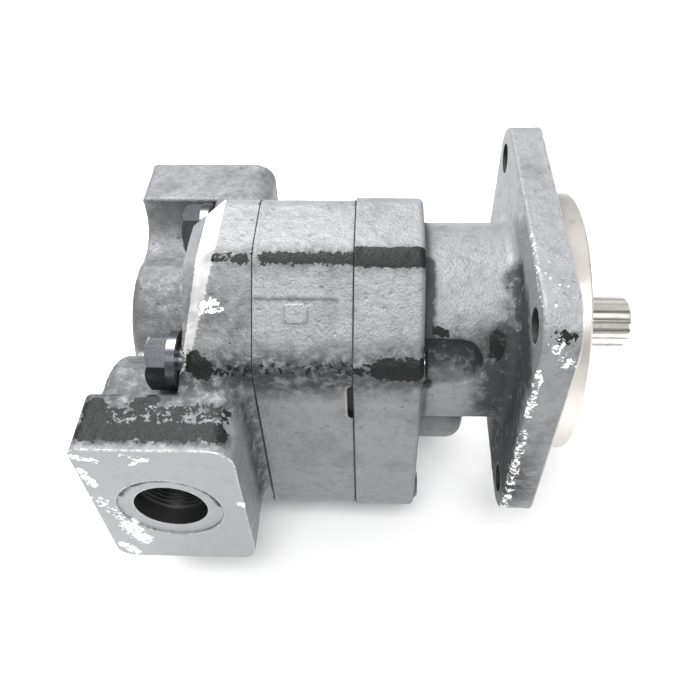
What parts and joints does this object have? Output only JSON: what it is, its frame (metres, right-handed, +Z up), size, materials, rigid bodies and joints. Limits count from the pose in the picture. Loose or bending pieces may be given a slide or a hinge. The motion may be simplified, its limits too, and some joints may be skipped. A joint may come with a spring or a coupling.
{
  "type": "hydraulic gear pump",
  "caption": "Cast iron external gear pump with a square mounting flange, round pilot, splined drive shaft and two side ports on a rear end cover.",
  "frame": {"origin": "centre of the flange's mounting face, on the drive shaft's axis", "axes": "+X out along the drive shaft, +Z up from the idler's axis to the drive axis, -Y towards the near port"},
  "size_m": [0.2539, 0.188, 0.1992],
  "materials": {
    "painted_cast_iron": "sand cast, thin grey paint, chipped and stained; machined faces bare",
    "ground_steel": "ground and hobbed, light oil",
    "dark_steel": "black oxide, worn on the edges",
    "pressed_steel": "pressed, zinc phosphate",
    "bronze": "turned bronze",
    "nitrile_rubber": "moulded, matt black"
  },
  "bodies": {
    "pump_body": {"shaft_end_cover": "painted_cast_iron", "gear_housing": "painted_cast_iron", "port_end_cover": "painted_cast_iron", "front_thrust_plate": "bronze", "rear_thrust_plate": "bronze", "drive_front_bush": "bronze", "drive_rear_bush": "bronze", "idler_front_bush": "bronze", "idler_rear_bush": "bronze", "front_body_seal": "nitrile_rubber", "rear_body_seal": "nitrile_rubber", "front_plate_seal": "nitrile_rubber", "rear_plate_seal": "nitrile_rubber", "shaft_seal_case": "pressed_steel", "shaft_seal_lip": "nitrile_rubber", "shaft_seal_spring": "pressed_steel", "snap_ring": "dark_steel", "front_dowels": "ground_steel", "rear_dowels": "ground_steel", "tie_bolts": "dark_steel", "bolt_washers": "dark_steel"},
    "drive": {"drive_gear_shaft": "ground_steel"},
    "idler": {"idler_gear": "ground_steel"}
  },
  "joints": [
    {"name": "drive_spin", "type": "hinge", "parent": "pump_body", "child": "drive", "pos_m": [0, 0, 0], "axis": [1, 0, 0], "continuous": true},
    {"name": "idler_spin", "type": "hinge", "parent": "pump_body", "child": "idler", "pos_m": [0, 0, -0.0635], "axis": [1, 0, 0], "continuous": true}
  ],
  "couplings": [
    {"joint": "idler_spin", "follows": "drive_spin", "ratio": -1}
  ]
}
